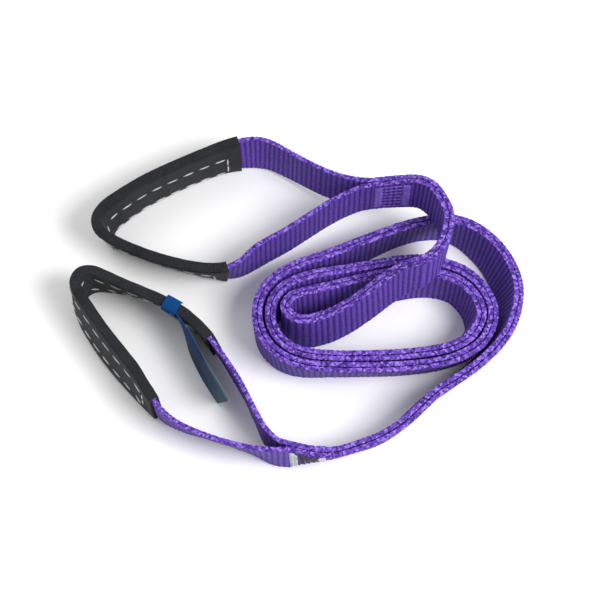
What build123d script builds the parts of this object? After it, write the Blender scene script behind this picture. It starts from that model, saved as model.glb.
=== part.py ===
"""Flat two-ply web sling with a sewn, sleeved soft eye at each end.

The sling lies on its web edge in a loose flattened spiral. Both plies of the body follow one
route, given by stations along the top edge of the web; each eye is one ply that leaves the body,
goes round its loop and comes back. Every web piece is a ruled loft through upright rectangles.
Units are millimetres, +Z is up, the ground is z = 0 and the origin is the middle of the footprint.
"""
import os
from bisect import bisect_right
from math import cos, hypot, radians, sin

from build123d import *

# Webbing
web_width = 30.0
ply_thickness = 3.2
ply_gap = 0.2              # between the two sewn plies of the body

# Wear sleeve over each eye: a flat tube of heavy black cloth
sleeve_wall = 1.4
sleeve_clearance = 0.15    # between web and sleeve, all round
sleeve_height_extra = 1.0  # wall of the tube beyond each web edge

# Thread
thread_width = 1.1
thread_proud = 0.5
stitch_length = 7.5
stitch_pitch = 11.0
least_stitch_share = 0.6   # of its length; the inside of a tight turn has no room for a shorter one
row_spacing = 16.0         # between the two rows on a sleeve
row_drop_a = 5.8           # of eye A's rows below the middle of its sleeve
row_drop_b = 0.0
row_end_margin = 9.0       # from the end bar to the end of the sleeve
splice_start = 6.0         # from the hinge line to the first bar of the eye splice
splice_length = 22.0
splice_rows = 3
splice_edge_margin = 5.0

# Label: a sewn tail on the sleeve and a two-leaf flap
label_width = 32.0
leaf_thickness = 0.8
cover_thickness = 0.5
leaf_gap = 0.4
label_standoff = 1.6       # from the sleeve's stitches to the label
label_rise = 0.0           # of the label above the middle of the sleeve
label_sewn_length = 12.0
label_flap_length = 66.0
label_hinge_gap = 0.8      # from the hinge line to each of the pieces that it joins
label_bar_margin = 3.0     # from each end of the sewn part to the bar that holds it
label_flap_turn = 20.0     # degrees that the flap leaves the leg by
label_lean = 10.0          # degrees that the flap leans at its hinge line, with the leg
cover_start = 14.0         # from the hinge line to the cover
cover_margin = 2.0         # of the cover inside the leaf's free end

# Hinge lines, where an eye swings on the body
hinge_clearance = 0.3
hinge_end_proud = 0.6      # of an eye's round end beyond each edge of the web

# Sections of a loft
most_turn = 9.0            # degrees of route between two sections
most_run = 14.0            # millimetres of route between two sections

# The middle of the footprint, in the axes that the stations use
middle_x = -2.5
middle_y = -2.95

body_thickness = 2 * ply_thickness + ply_gap
hinge_radius = body_thickness / 2
ply_offset = (ply_thickness + ply_gap) / 2
sleeve_thickness = ply_thickness + 2 * (sleeve_wall + sleeve_clearance)
sleeve_height = web_width + 2 * (sleeve_height_extra + sleeve_clearance)

# Stations along the top edge of the body, from eye A to eye B: x, y, the lift of the lower edge
# off the ground, and the lean in degrees, positive where the top edge tips out of the spiral.
body_stations = [
    # first turn, which climbs over the back band and over the middle pair
    (44, 64.5, 14, 0), (52, 63.8, 17, 0), (60, 62.8, 20.5, 1), (68, 60.9, 25, 2),
    (75, 57.4, 29.5, 2), (81, 52, 31.5, 2), (86, 44, 31.7, 2), (89.5, 34, 31.7, 2),
    (88.5, 24, 31.7, 2), (86, 16, 31.7, 2), (81, 8.5, 31.7, 0), (74, 3, 31.5, -3),
    (66, 1.8, 28.5, -5), (58, 0, 24, -7), (49.5, -3.5, 18.5, -8), (38, -10, 12, -8),
    (26, -15.8, 5.5, -8), (14, -19.7, 1.5, -8), (4, -21.8, 0, -6),
    # hairpin inside the spiral
    (-4.5, -20, 0, -2), (-8.8, -13, 0, 0), (-5, -6.5, 0, 3),
    # second turn
    (4, -3, 0, 7), (18, 0.5, 0, 9), (40, 6.3, 0, 9), (61, 10.3, 0, 7), (75, 10.5, 0, 3),
    (86, 8.3, 0, 0), (95.5, 4.8, 0, 1), (102.8, -1.2, 0, 4), (107.7, -8.7, 0, 7), (109.8, -17.5, 0, 9),
    (107, -26.5, 0, 12), (101, -34, 0, 14), (92.5, -39, 0, 16), (82, -42, 0, 17),
    (60, -44.8, 0, 17), (36, -45.7, 0, 17), (18, -45.5, 0, 16), (5, -44, 0, 13),
    (-5, -40.5, 0, 9), (-12.5, -34, 0, 5), (-17, -25.5, 0, 2), (-18, -16, 0, 1),
    # third turn, outside the second
    (-15, -6, 0, 2), (-7.5, 2.3, 0, 5), (6, 7.8, 0, 8), (22, 11, 0, 8), (40, 14, 0, 8),
    (61, 18, 0, 6), (75, 18.6, 0, 3), (87, 16.4, 0, 0), (98, 12.2, 0, 1), (107, 5.3, 0, 4),
    (113.5, -4, 0, 7), (117, -15, 0, 9), (115.2, -26.5, 0, 12), (109.5, -36.5, 0, 14),
    (99.5, -44, 0, 16), (84, -49.6, 0, 17), (60, -52.6, 0, 17), (36, -53.3, 0, 17),
    (18, -53, 0, 16), (3, -51.5, 0, 13), (-9, -47, 0, 9), (-18, -39.5, 0, 6),
    (-24, -29, 0, 3), (-26, -17, 0, 2), (-23.3, -4.3, 0, 2), (-15, 6.6, 0, 3), (-3, 14.5, 0, 3),
    # back band and the outermost turn
    (12, 20.3, 0, 2), (27, 26.3, 0, 0), (44, 33.5, 0, -4), (62, 40.5, 0, -8), (78, 45, 0, -8),
    (90, 46.5, 0, -5), (101, 44.8, 0, 2), (111.5, 39.3, 0, 8), (120.5, 31, 0, 12),
    (127.3, 21, 0, 15), (131.8, 10, 0, 16), (133.3, -2, 0, 16), (131.5, -14.5, 0, 16),
    (127.3, -26, 0, 16), (121, -36, 0, 16), (113, -45, 0, 16), (104, -53, 0, 16),
    # tail that runs out to eye B
    (93, -61, 0, 15), (82, -68.5, 0, 14), (72.5, -77.5, 0, 14), (62, -87.5, 0, 14),
    (48.5, -96.5, 0, 15), (34, -102.5, 0, 17), (20, -106.5, 0, 17), (8, -106.5, 0.3, 14),
    (-1, -104.5, 0.6, 6), (-6, -103, 0.6, 0),
]

# Stations of each eye, anticlockwise from the hinge line and back to it, in the same terms.
# The lean is positive where the top edge tips out of the loop.
eye_a_stations = [
    (44, 66.2, 14, 0), (37, 67.5, 12.5, 0), (28, 70.5, 10.5, 2), (16, 76.5, 8, 2),
    (4, 84.2, 6, 2), (-8, 92.6, 4.5, 3), (-17, 98.9, 3.5, 5), (-25, 102.1, 3, 7),
    (-33, 102.2, 2.8, 6),
    (-46, 98.5, 2.6, 1), (-62, 91.2, 2.6, -2), (-80, 82.3, 2.6, -2), (-97, 73, 2.6, -1),
    (-112, 62.5, 2.6, 1), (-121.5, 54.5, 2.6, 4), (-126, 46.5, 2.6, 10), (-124.5, 38.5, 2.8, 16),
    (-116.5, 31.5, 3, 20), (-104, 25, 3, 22), (-87, 18.3, 3, 22), (-70, 13.5, 3, 22),
    (-56, 11.3, 3, 20), (-45, 12, 2.8, 15), (-36, 17, 2.6, 8), (-28.5, 25, 2.6, 1),
    (-20, 30.7, 3.4, 0), (-10, 36.2, 4.4, 0), (1, 43.3, 5.6, 0), (12, 50.4, 7.2, 0),
    (22, 56, 9.2, 0), (31, 59.9, 11.2, 0), (38, 62.1, 12.7, 0), (44, 62.8, 14, 0),
]
eye_b_stations = [
    (-6, -101.3, 0.6, 0), (-13, -99, 0.6, 0), (-20.5, -91.5, 0.9, -1), (-28.5, -77, 1.4, -4),
    (-35.5, -63, 2, -5), (-43, -51, 2.6, -6), (-51, -39.5, 2.8, -8), (-60, -28.5, 3, -11),
    (-70, -19, 3, -15), (-82, -11.3, 3, -18), (-95, -5, 3, -19), (-108, 0.8, 3, -17),
    (-119, 6, 3, -11), (-127, 9.3, 2.8, -5), (-133.8, 8.3, 2.8, 0), (-136.8, 2, 2.8, -2),
    (-133.5, -6, 2.8, -5), (-126.5, -17, 2.8, -8), (-117.5, -30, 2.8, -9), (-107.5, -43, 2.8, -9),
    (-98, -55.5, 2.8, -7), (-90.5, -68, 2.8, -1), (-82, -80.5, 2.6, 6), (-72.5, -88.5, 2.2, 12),
    (-60, -94.5, 1.6, 16), (-44, -100, 1, 17), (-28, -103.9, 0.6, 13), (-16, -105.2, 0.6, 4),
    (-6, -104.7, 0.6, 0),
]

# Each sleeve covers its eye between these two shares of the loop's length
sleeve_a_span = (0.235, 0.739)
sleeve_b_span = (0.230, 0.757)
label_hinge_share = 0.305   # where the label's flap leaves eye B's loop

outward_body = 1            # the spiral runs clockwise, so its outside is on the left
outward_eye = -1            # the eyes run anticlockwise


def blend(before, start, end, after, share):
    """A point on the smooth curve from start to end, with its neighbours before and after."""
    gaps = [max(hypot(b[0] - a[0], b[1] - a[1]), 1e-6) ** 0.5
            for a, b in ((before, start), (start, end), (end, after))]
    point = []
    for p0, p1, p2, p3 in zip(before, start, end, after):
        slope_1 = ((p1 - p0) / gaps[0] - (p2 - p0) / (gaps[0] + gaps[1]) + (p2 - p1) / gaps[1]) * gaps[1]
        slope_2 = ((p2 - p1) / gaps[1] - (p3 - p1) / (gaps[1] + gaps[2]) + (p3 - p2) / gaps[2]) * gaps[1]
        u, v = share, 1 - share
        point.append(v * v * (1 + 2 * u) * p1 + u * u * (3 - 2 * u) * p2
                     + u * v * v * slope_1 - u * u * v * slope_2)
    return point


def section_frame(before, point, after, outward, width, thickness):
    """The middle of a strip at a point, and its unit vectors along, across (upwards) and out."""
    x, y, lift, lean = point
    along = Vector(after[0] - before[0], after[1] - before[1], 0).normalized()
    side = Vector(-along.Y, along.X, 0) * outward
    tip = radians(lean)
    rise = max(lift, 0) + width * cos(tip) + thickness / 2 * abs(sin(tip))
    across = Vector(0, 0, 1) * cos(tip) + side * sin(tip)
    out = across.cross(along) * outward
    middle = Vector(x - middle_x, y - middle_y, rise) - across * (width / 2)
    return middle, along, across, out


class Route:
    """A strip's route, as sections along its top edge that follow its stations smoothly."""

    def __init__(self, stations, outward, width, thickness):
        first = [2 * a - b for a, b in zip(stations[0], stations[1])]
        last = [2 * a - b for a, b in zip(stations[-1], stations[-2])]
        padded = [first, *stations, last]
        points = []
        for k in range(1, len(padded) - 2):
            steps = max(4, int(hypot(padded[k + 1][0] - padded[k][0], padded[k + 1][1] - padded[k][1])))
            points += [blend(*padded[k - 1:k + 3], i / steps) for i in range(steps)]
        points.append(list(stations[-1]))
        self.distances = []
        self.frames = []
        length = turned = 0.0
        heading = None
        last = len(points) - 1
        for k, point in enumerate(points):
            before, after = points[max(k - 1, 0)], points[min(k + 1, last)]
            length += hypot(point[0] - before[0], point[1] - before[1])
            frame = section_frame(before, point, after, outward, width, thickness)
            turned += frame[1].get_angle(heading or frame[1])
            heading = frame[1]
            if k in (0, last) or turned >= most_turn or length - self.distances[-1] >= most_run:
                self.distances.append(length)
                self.frames.append(frame)
                turned = 0.0

    @property
    def length(self):
        """The whole length of the route."""
        return self.distances[-1]

    def frame(self, distance):
        """The middle of the strip, and its vectors along, across (upwards) and out."""
        k = min(max(bisect_right(self.distances, distance) - 1, 0), len(self.distances) - 2)
        share = (distance - self.distances[k]) / (self.distances[k + 1] - self.distances[k])
        return [a + (b - a) * share for a, b in zip(self.frames[k], self.frames[k + 1])]

    def stops(self, start, end):
        """Distances of the sections from start to end."""
        return [start] + [d for d in self.distances if start + 0.5 < d < end - 0.5] + [end]


def section_planes(route, start, end, offset=0.0, shift=0.0):
    """Planes across a strip: offset is towards the outside, shift is up the web."""
    planes = []
    for distance in route.stops(start, end):
        middle, along, across, out = route.frame(distance)
        planes.append(Plane(origin=middle + out * offset + across * shift, x_dir=across, z_dir=along))
    return planes


def finish(piece, name):
    """Label one piece and write it."""
    piece.part.label = name
    export_step(piece.part, f"parts/{name}.step")


def build_ply(route, offset, name):
    """One ply of the body, from hinge line to hinge line, hollowed for the eyes' round ends."""
    with BuildPart() as ply:
        for plane in section_planes(route, 0, route.length, offset):
            with BuildSketch(plane):
                Rectangle(web_width, ply_thickness)
        loft(ruled=True)
        for distance in (0, route.length):
            with Locations(route.frame(distance)[0]):
                Cylinder(hinge_radius + hinge_clearance, 2 * web_width, mode=Mode.SUBTRACT)
    finish(ply, name)


def build_eye_web(route, hinge, name):
    """The single ply of an eye, with the round end on which it swings."""
    with BuildPart() as web:
        for plane in section_planes(route, 0, route.length):
            with BuildSketch(plane):
                Rectangle(web_width, ply_thickness)
        loft(ruled=True)
        with Locations(hinge):
            Cylinder(hinge_radius, web_width + 2 * hinge_end_proud)
    finish(web, name)


def build_sleeve(route, span, name):
    """The flat tube over an eye."""
    planes = section_planes(route, span[0] * route.length, span[1] * route.length)
    with BuildPart() as sleeve:
        for plane in planes:
            with BuildSketch(plane):
                Rectangle(sleeve_height, sleeve_thickness)
        loft(ruled=True)
        for plane in planes:
            with BuildSketch(plane):
                Rectangle(web_width + 2 * sleeve_clearance, ply_thickness + 2 * sleeve_clearance)
        loft(ruled=True, mode=Mode.SUBTRACT)
    finish(sleeve, name)


def build_thread(route, face, rows, bars, bar_length, bar_shift, name):
    """Thread on both faces of a web: rows are (start, end, shift) and bars are distances."""
    strips = [(start, end, shift, thread_width) for start, end, shift in rows]
    strips += [(bar - thread_width / 2, bar + thread_width / 2, bar_shift, bar_length) for bar in bars]
    with BuildPart() as thread:
        for offset in (-face - thread_proud / 2, face + thread_proud / 2):
            for start, end, shift, height in strips:
                planes = section_planes(route, start, end, offset, shift)
                if (planes[-1].origin - planes[0].origin).length < (end - start) * least_stitch_share:
                    continue
                for plane in planes:
                    with BuildSketch(plane):
                        Rectangle(height, thread_proud)
                loft(ruled=True)
    finish(thread, name)


def sleeve_stitches(route, span, drop, name):
    """Two rows of running stitch on a sleeve, closed by a bar at each end."""
    start = span[0] * route.length + row_end_margin
    end = span[1] * route.length - row_end_margin
    count = int((end - start - stitch_length) // stitch_pitch) + 1
    pitch = (end - start - stitch_length) / (count - 1)
    firsts = [start + k * pitch for k in range(count)]
    rows = [(first, first + stitch_length, shift) for first in firsts
            for shift in (-row_spacing / 2 - drop, row_spacing / 2 - drop)]
    bars = (start - thread_width, end + thread_width)
    build_thread(route, sleeve_thickness / 2, rows, bars, row_spacing + thread_width, -drop, name)


def splice_stitches(route, start, name):
    """The sewn block that closes an eye: rows along the web between two bars."""
    end = start + splice_length
    reach = web_width / 2 - splice_edge_margin
    shifts = [reach * (2 * k / (splice_rows - 1) - 1) for k in range(splice_rows)]
    rows = [(start + 2 * thread_width, end - 2 * thread_width, shift) for shift in shifts]
    build_thread(route, body_thickness / 2, rows, (start, end), 2 * reach + thread_width, 0, name)


def build_strip(route, start, end, offset, thickness, shift, name):
    """A plain strip of the label."""
    with BuildPart() as strip:
        for plane in section_planes(route, start, end, offset, shift):
            with BuildSketch(plane):
                Rectangle(label_width, thickness)
        loft(ruled=True)
    finish(strip, name)


def build_label_bars(route, bars, offset, shift, name):
    """The two bars of thread that hold the label's sewn end."""
    with BuildPart() as thread:
        for bar in bars:
            for plane in section_planes(route, bar - thread_width / 2, bar + thread_width / 2, offset, shift):
                with BuildSketch(plane):
                    Rectangle(label_width - 2 * label_bar_margin, thread_proud)
            loft(ruled=True)
    finish(thread, name)


def flap_stations(hinge, direction):
    """Stations of the flap's top edge, straight out of its hinge line and upright at its end."""
    tip = Vector(direction.Y, -direction.X, 0) * (label_width / 2 * sin(radians(label_lean)))
    stations = []
    for share in (0, 0.5, 1):
        top = hinge + direction * (label_flap_length * share) + tip
        stations.append((top.X + middle_x, top.Y + middle_y, hinge.Z - label_width / 2,
                         label_lean * (1 - share)))
    return stations


os.makedirs("parts", exist_ok=True)

body = Route(body_stations, outward_body, web_width, body_thickness)
eye_a = Route(eye_a_stations, outward_eye, web_width, ply_thickness)
eye_b = Route(eye_b_stations, outward_eye, web_width, ply_thickness)
hinge_a = body.frame(0)[0]
hinge_b = body.frame(body.length)[0]

build_ply(body, ply_offset, "body_outer_ply")
build_ply(body, -ply_offset, "body_inner_ply")
build_eye_web(eye_a, hinge_a, "eye_a_web")
build_eye_web(eye_b, hinge_b, "eye_b_web")
build_sleeve(eye_a, sleeve_a_span, "eye_a_sleeve")
build_sleeve(eye_b, sleeve_b_span, "eye_b_sleeve")
sleeve_stitches(eye_a, sleeve_a_span, row_drop_a, "eye_a_sleeve_stitches")
sleeve_stitches(eye_b, sleeve_b_span, row_drop_b, "eye_b_sleeve_stitches")
splice_stitches(body, splice_start, "splice_a_stitches")
splice_stitches(body, body.length - splice_start - splice_length, "splice_b_stitches")

label_hinge_distance = label_hinge_share * eye_b.length
label_sewn_end = label_hinge_distance + label_hinge_gap + label_sewn_length
label_offset = -(sleeve_thickness / 2 + thread_proud + label_standoff + leaf_thickness / 2)
build_strip(eye_b, label_hinge_distance + label_hinge_gap, label_sewn_end, label_offset,
            leaf_thickness, label_rise, "label_sewn_end")
bars = (label_hinge_distance + label_bar_margin, label_sewn_end - label_bar_margin)
build_label_bars(eye_b, bars, label_offset - (leaf_thickness + thread_proud) / 2, label_rise,
                 "label_stitches")
middle, along, across, out = eye_b.frame(label_hinge_distance)
label_hinge = middle + out * label_offset + across * label_rise
flap_direction = Vector(-along.X, -along.Y, 0).normalized().rotate(Axis.Z, -label_flap_turn)
flap = Route(flap_stations(label_hinge, flap_direction), outward_eye, label_width, leaf_thickness)
build_strip(flap, label_hinge_gap, flap.length, 0, leaf_thickness, 0, "label_leaf")
cover_offset = -((leaf_thickness + cover_thickness) / 2 + leaf_gap)
build_strip(flap, cover_start, flap.length - cover_margin, cover_offset, cover_thickness, 0,
            "label_cover")

for name, point in (("hinge A", hinge_a), ("hinge B", hinge_b), ("label hinge", label_hinge)):
    print(f"{name} at {point.X:.2f}, {point.Y:.2f}, {point.Z:.2f}")
print(f"body {body.length:.0f} mm, eye A loop {eye_a.length:.0f} mm, eye B loop {eye_b.length:.0f} mm")
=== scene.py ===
"""A flat web sling that lies loosely coiled on its web edge.

Two violet plies make the body, one ply goes round each soft eye, and each eye wears a black sleeve
with running stitch. A blue label hangs inside the lower eye. Stations are in millimetres and every
other length is in metres; +Z is up and the floor is z = 0.
"""
from __future__ import annotations

import logging
import math
from dataclasses import dataclass
from enum import Enum

import bpy
import numpy as np
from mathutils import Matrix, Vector


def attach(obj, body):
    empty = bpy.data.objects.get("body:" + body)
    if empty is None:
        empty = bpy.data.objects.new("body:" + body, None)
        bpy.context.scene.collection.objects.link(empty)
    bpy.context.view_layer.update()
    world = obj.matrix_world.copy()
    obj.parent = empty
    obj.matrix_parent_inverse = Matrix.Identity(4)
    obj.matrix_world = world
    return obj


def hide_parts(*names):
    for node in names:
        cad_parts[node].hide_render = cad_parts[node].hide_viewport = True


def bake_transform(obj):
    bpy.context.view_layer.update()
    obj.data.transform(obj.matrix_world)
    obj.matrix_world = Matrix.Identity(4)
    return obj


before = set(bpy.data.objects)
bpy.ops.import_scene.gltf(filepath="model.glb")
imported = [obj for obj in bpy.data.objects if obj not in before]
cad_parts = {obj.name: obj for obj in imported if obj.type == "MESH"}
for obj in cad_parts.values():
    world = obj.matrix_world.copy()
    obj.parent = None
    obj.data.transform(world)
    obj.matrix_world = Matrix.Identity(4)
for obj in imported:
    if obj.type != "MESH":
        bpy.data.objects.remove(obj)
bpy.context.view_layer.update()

log = logging.getLogger("web sling")

MM = 0.001
FOOTPRINT_MIDDLE_MM = (-2.5, -2.95)
EDGE_DEPTH = 0.35     # of a web's blunt edge, as a share of half its thickness
THREAD_LIFT = 0.0001  # of a thread's middle over the cloth that it is sewn to

Socket = bpy.types.NodeSocket
Station = tuple[float, float, float, float]

# x, y, lift of the lower edge off the floor, and lean in degrees, positive out of the spiral
BODY_STATIONS: list[Station] = [
    # first turn, which climbs over the back band and over the middle pair
    (44, 64.5, 14, 0), (52, 63.8, 17, 0), (60, 62.8, 20.5, 1), (68, 60.9, 25, 2),
    (75, 57.4, 29.5, 2), (81, 52, 31.5, 2), (86, 44, 31.7, 2), (89.5, 34, 31.7, 2),
    (88.5, 24, 31.7, 2), (86, 16, 31.7, 2), (81, 8.5, 31.7, 0), (74, 3, 31.5, -3),
    (66, 1.8, 28.5, -5), (58, 0, 24, -7), (49.5, -3.5, 18.5, -8), (38, -10, 12, -8),
    (26, -15.8, 5.5, -8), (14, -19.7, 1.5, -8), (4, -21.8, 0, -6),
    # hairpin inside the spiral
    (-4.5, -20, 0, -2), (-8.8, -13, 0, 0), (-5, -6.5, 0, 3),
    # second turn
    (4, -3, 0, 7), (18, 0.5, 0, 9), (40, 6.3, 0, 9), (61, 10.3, 0, 7), (75, 10.5, 0, 3),
    (86, 8.3, 0, 0), (95.5, 4.8, 0, 1), (102.8, -1.2, 0, 4), (107.7, -8.7, 0, 7), (109.8, -17.5, 0, 9),
    (107, -26.5, 0, 12), (101, -34, 0, 14), (92.5, -39, 0, 16), (82, -42, 0, 17),
    (60, -44.8, 0, 17), (36, -45.7, 0, 17), (18, -45.5, 0, 16), (5, -44, 0, 13),
    (-5, -40.5, 0, 9), (-12.5, -34, 0, 5), (-17, -25.5, 0, 2), (-18, -16, 0, 1),
    # third turn, outside the second
    (-15, -6, 0, 2), (-7.5, 2.3, 0, 5), (6, 7.8, 0, 8), (22, 11, 0, 8), (40, 14, 0, 8),
    (61, 18, 0, 6), (75, 18.6, 0, 3), (87, 16.4, 0, 0), (98, 12.2, 0, 1), (107, 5.3, 0, 4),
    (113.5, -4, 0, 7), (117, -15, 0, 9), (115.2, -26.5, 0, 12), (109.5, -36.5, 0, 14),
    (99.5, -44, 0, 16), (84, -49.6, 0, 17), (60, -52.6, 0, 17), (36, -53.3, 0, 17),
    (18, -53, 0, 16), (3, -51.5, 0, 13), (-9, -47, 0, 9), (-18, -39.5, 0, 6),
    (-24, -29, 0, 3), (-26, -17, 0, 2), (-23.3, -4.3, 0, 2), (-15, 6.6, 0, 3), (-3, 14.5, 0, 3),
    # back band and the outermost turn
    (12, 20.3, 0, 2), (27, 26.3, 0, 0), (44, 33.5, 0, -4), (62, 40.5, 0, -8), (78, 45, 0, -8),
    (90, 46.5, 0, -5), (101, 44.8, 0, 2), (111.5, 39.3, 0, 8), (120.5, 31, 0, 12),
    (127.3, 21, 0, 15), (131.8, 10, 0, 16), (133.3, -2, 0, 16), (131.5, -14.5, 0, 16),
    (127.3, -26, 0, 16), (121, -36, 0, 16), (113, -45, 0, 16), (104, -53, 0, 16),
    # tail that runs out to eye B
    (93, -61, 0, 15), (82, -68.5, 0, 14), (72.5, -77.5, 0, 14), (62, -87.5, 0, 14),
    (48.5, -96.5, 0, 15), (34, -102.5, 0, 17), (20, -106.5, 0, 17), (8, -106.5, 0.3, 14),
    (-1, -104.5, 0.6, 6), (-6, -103, 0.6, 0),
]
# the eyes run anticlockwise from their hinge line and back to it; lean is positive out of the loop
EYE_A_STATIONS: list[Station] = [
    (44, 66.2, 14, 0), (37, 67.5, 12.5, 0), (28, 70.5, 10.5, 2), (16, 76.5, 8, 2),
    (4, 84.2, 6, 2), (-8, 92.6, 4.5, 3), (-17, 98.9, 3.5, 5), (-25, 102.1, 3, 7),
    (-33, 102.2, 2.8, 6),
    (-46, 98.5, 2.6, 1), (-62, 91.2, 2.6, -2), (-80, 82.3, 2.6, -2), (-97, 73, 2.6, -1),
    (-112, 62.5, 2.6, 1), (-121.5, 54.5, 2.6, 4), (-126, 46.5, 2.6, 10), (-124.5, 38.5, 2.8, 16),
    (-116.5, 31.5, 3, 20), (-104, 25, 3, 22), (-87, 18.3, 3, 22), (-70, 13.5, 3, 22),
    (-56, 11.3, 3, 20), (-45, 12, 2.8, 15), (-36, 17, 2.6, 8), (-28.5, 25, 2.6, 1),
    (-20, 30.7, 3.4, 0), (-10, 36.2, 4.4, 0), (1, 43.3, 5.6, 0), (12, 50.4, 7.2, 0),
    (22, 56, 9.2, 0), (31, 59.9, 11.2, 0), (38, 62.1, 12.7, 0), (44, 62.8, 14, 0),
]
EYE_B_STATIONS: list[Station] = [
    (-6, -101.3, 0.6, 0), (-13, -99, 0.6, 0), (-20.5, -91.5, 0.9, -1), (-28.5, -77, 1.4, -4),
    (-35.5, -63, 2, -5), (-43, -51, 2.6, -6), (-51, -39.5, 2.8, -8), (-60, -28.5, 3, -11),
    (-70, -19, 3, -15), (-82, -11.3, 3, -18), (-95, -5, 3, -19), (-108, 0.8, 3, -17),
    (-119, 6, 3, -11), (-127, 9.3, 2.8, -5), (-133.8, 8.3, 2.8, 0), (-136.8, 2, 2.8, -2),
    (-133.5, -6, 2.8, -5), (-126.5, -17, 2.8, -8), (-117.5, -30, 2.8, -9), (-107.5, -43, 2.8, -9),
    (-98, -55.5, 2.8, -7), (-90.5, -68, 2.8, -1), (-82, -80.5, 2.6, 6), (-72.5, -88.5, 2.2, 12),
    (-60, -94.5, 1.6, 16), (-44, -100, 1, 17), (-28, -103.9, 0.6, 13), (-16, -105.2, 0.6, 4),
    (-6, -104.7, 0.6, 0),
]


class Body(str, Enum):
    """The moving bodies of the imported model."""

    COIL = "coil"
    EYE_A = "eye_a"
    EYE_B = "eye_b"
    LABEL = "label_flap"


class Nodes:
    """Adds nodes to one tree and links them."""

    def __init__(self, tree: bpy.types.NodeTree) -> None:
        """Work on tree."""
        self.tree = tree

    def add(self, kind: str, settings: dict[str, object] | None = None,
            inputs: dict[str | int, object] | None = None) -> bpy.types.Node:
        """Add one node.

        Args:
            kind: the node's type.
            settings: properties of the node.
            inputs: a value or an output socket for each named or numbered input.

        Returns:
            The new node.
        """
        node = self.tree.nodes.new(kind)
        for key, value in (settings or {}).items():
            setattr(node, key, value)
        for key, value in (inputs or {}).items():
            self.feed(node.inputs[key], value)
        return node

    def feed(self, socket: Socket, value: object) -> None:
        """Link value to socket if it is a socket, and store it there otherwise."""
        if isinstance(value, Socket):
            self.tree.links.new(value, socket)
        else:
            socket.default_value = value

    def math(self, operation: str, *values: object, clamp: bool = False) -> Socket:
        """The result of a Math node.

        Args:
            operation: what it does.
            values: its inputs in order.
            clamp: keep the result from 0 to 1.

        Returns:
            The output socket.
        """
        settings = {"operation": operation, "use_clamp": clamp}
        return self.add("ShaderNodeMath", settings, dict(enumerate(values))).outputs[0]

    def vector(self, operation: str, first: object, second: object) -> Socket:
        """The vector result of a Vector Math node; second is the factor for SCALE."""
        slot = "Scale" if operation == "SCALE" else 1
        node = self.add("ShaderNodeVectorMath", {"operation": operation}, {0: first, slot: second})
        return node.outputs[0]

    def combine(self, x: object, y: object, z: object) -> Socket:
        """A vector from three numbers."""
        return self.add("ShaderNodeCombineXYZ", None, {0: x, 1: y, 2: z}).outputs[0]

    def noise(self, vector: Socket, scale: float, detail: float = 2.0) -> Socket:
        """The Fac output of a 3D noise."""
        return self.add("ShaderNodeTexNoise", {"noise_dimensions": "3D"},
                        {"Vector": vector, "Scale": scale, "Detail": detail}).outputs[0]

    def ramp(self, factor: Socket, stops: list[tuple[float, tuple[float, float, float]]]) -> Socket:
        """A colour ramp.

        Args:
            factor: what it reads.
            stops: (place, linear colour) in order.

        Returns:
            The colour socket.
        """
        node = self.add("ShaderNodeValToRGB", None, {0: factor})
        ramp = node.color_ramp
        while len(ramp.elements) < len(stops):
            ramp.elements.new(0.5)
        for element, (place, colour) in zip(ramp.elements, stops):
            element.position = place
            element.color = (*colour, 1)
        return node.outputs[0]

    def mix(self, factor: object, first: object, second: object) -> Socket:
        """A colour mix."""
        return self.add("ShaderNodeMix", {"data_type": "RGBA"}, {0: factor, 6: first, 7: second}).outputs[2]

    def stored(self, name: str) -> Socket:
        """A number that the mesh stores, as a material reads it."""
        return self.add("ShaderNodeAttribute", {"attribute_name": name}).outputs["Fac"]

    def relief(self, shader: bpy.types.Node, height: Socket, strength: float, depth: float) -> None:
        """Give shader fine relief of a strength and depth."""
        bump = self.add("ShaderNodeBump", None, {"Strength": strength, "Distance": depth, "Height": height})
        self.feed(shader.inputs["Normal"], bump.outputs[0])


@dataclass
class Sections:
    """Cross-sections along a strap: one row of each array for each section."""

    middle: np.ndarray
    along: np.ndarray
    across: np.ndarray
    out: np.ndarray
    arc: np.ndarray

    def moved(self, out: float = 0.0, across: float = 0.0) -> Sections:
        """The same sections, moved out of the spiral or up the web."""
        middle = self.middle + self.out * out + self.across * across
        return Sections(middle, self.along, self.across, self.out, self.arc)

    def backwards(self) -> Sections:
        """The sections in the opposite order."""
        return Sections(self.middle[::-1], -self.along[::-1], self.across[::-1], self.out[::-1],
                        self.arc[::-1])

    def picked(self, order: np.ndarray | slice) -> Sections:
        """The sections that order names, in its order."""
        return Sections(self.middle[order], self.along[order], self.across[order], self.out[order],
                        self.arc[order])

    def facing_in(self) -> Sections:
        """The sections with their two faces exchanged."""
        return Sections(self.middle, self.along, self.across, -self.out, self.arc)

    @staticmethod
    def joined(pieces: list[Sections], arcs: list[np.ndarray]) -> Sections:
        """One run of sections from several, with new arcs."""
        keys = ("middle", "along", "across", "out")
        stacks = [np.concatenate([getattr(piece, key) for piece in pieces]) for key in keys]
        return Sections(*stacks, np.concatenate(arcs))


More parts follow.
